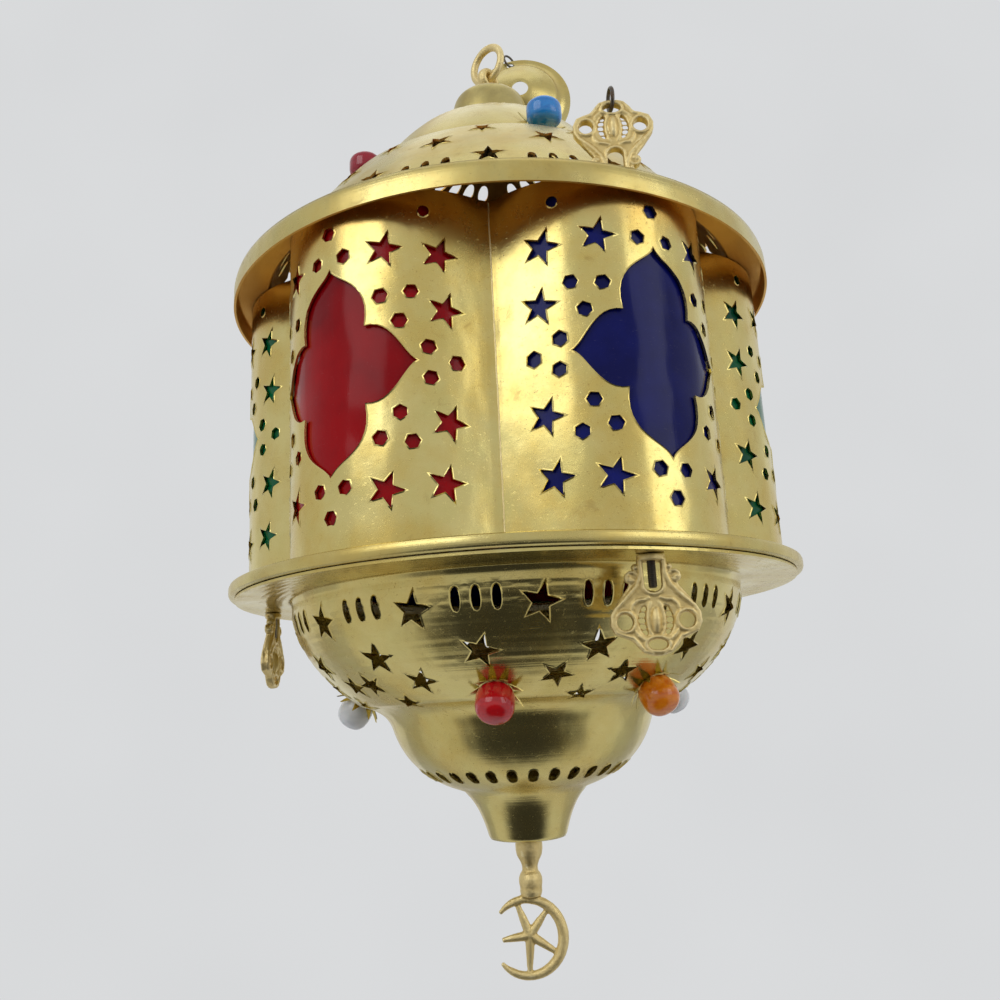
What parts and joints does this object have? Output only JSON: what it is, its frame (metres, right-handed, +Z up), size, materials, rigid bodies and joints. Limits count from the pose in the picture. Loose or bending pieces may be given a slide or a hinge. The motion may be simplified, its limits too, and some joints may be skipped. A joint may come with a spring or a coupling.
{
  "type": "hanging lantern",
  "caption": "Pierced brass hanging lantern with lobed panels, coloured liners, glass beads, cast ears and a crescent finial.",
  "frame": {"origin": "inner top of the hanging ring, where a hook carries the lantern", "axes": "+Z up along the lantern's axis, -Y towards the front between the red and blue panels"},
  "size_m": [0.199, 0.2, 0.3678],
  "materials": {
    "brass": "spun and hammered sheet brass, polished, aged with fine scratches and tarnish",
    "cast_brass": "sand cast brass, matte",
    "steel": "dark oiled steel",
    "liner_blue": "translucent glossy sheet",
    "liner_green": "translucent glossy sheet",
    "liner_red": "translucent glossy sheet",
    "bead_red": "opaque polished glass",
    "bead_orange": "opaque polished glass",
    "bead_white": "opaque polished glass",
    "bead_blue": "opaque polished glass",
    "bead_dark_red": "opaque polished glass"
  },
  "bodies": {
    "root": {"base_ring": "brass", "dome": "brass", "bowl": "brass", "top_cap": "brass", "candle_pan": "brass", "ring_eye": "cast_brass", "crescent_finial": "cast_brass", "eye_nut": "steel", "finial_nut": "steel", "panel_front_right": "brass", "liner_front_right": "liner_blue", "panel_right": "brass", "liner_right": "liner_green", "panel_back_right": "brass", "liner_back_right": "liner_red", "panel_back_left": "brass", "liner_back_left": "liner_blue", "panel_left": "brass", "liner_left": "liner_green", "panel_front_left": "brass", "liner_front_left": "liner_red", "dome_bead_front": "bead_blue", "dome_bead_left": "bead_dark_red", "dome_bead_right": "bead_white", "dome_bead_back": "bead_orange", "bowl_bead_front": "bead_red", "bowl_bead_right": "bead_orange", "bowl_bead_back_right": "bead_white", "bowl_bead_back": "bead_blue", "bowl_bead_left": "bead_white", "tie_rod_front": "steel", "upper_ear_front": "cast_brass", "lower_ear_front": "cast_brass", "tie_rod_back_right": "steel", "upper_ear_back_right": "cast_brass", "lower_ear_back_right": "cast_brass", "tie_rod_left": "steel", "upper_ear_left": "cast_brass", "lower_ear_left": "cast_brass"},
    "hanging_ring": {"hanging_ring": "cast_brass"},
    "canopy": {"canopy": "brass"},
    "canopy_link": {"canopy_link": "steel"},
    "ear_link_front": {"ear_link_front": "steel"},
    "ear_link_back_right": {"ear_link_back_right": "steel"},
    "ear_link_left": {"ear_link_left": "steel"}
  },
  "joints": [
    {"name": "hanging_ring_swing", "type": "hinge", "parent": "root", "child": "hanging_ring", "pos_m": [0, 0, -0.0135], "axis": [0.7547, -0.6561, 0], "range_deg": [-30, 80]},
    {"name": "ear_link_front_swing", "type": "hinge", "parent": "root", "child": "ear_link_front", "pos_m": [0.0373, -0.083, -0.0882], "axis": [0.9999, -0.014, 0], "range_deg": [-60, 60]},
    {"name": "ear_link_back_right_swing", "type": "hinge", "parent": "root", "child": "ear_link_back_right", "pos_m": [0.05323, 0.07381, -0.0882], "axis": [-0.9003, 0.4352, 0], "range_deg": [-60, 60]},
    {"name": "ear_link_left_swing", "type": "hinge", "parent": "root", "child": "ear_link_left", "pos_m": [-0.09053, 0.0092, -0.0882], "axis": [0.0209, -0.9998, 0], "range_deg": [-60, 60]},
    {"name": "canopy_lift", "type": "slide", "parent": "root", "child": "canopy", "axis": [0, 0, 1], "range_m": [0, 0.03]},
    {"name": "canopy_link_swing", "type": "hinge", "parent": "canopy", "child": "canopy_link", "pos_m": [0.00997, 0.0171, 0.00733], "axis": [-0.9803, 0.0514, -0.1908], "range_deg": [-30, 30]}
  ]
}
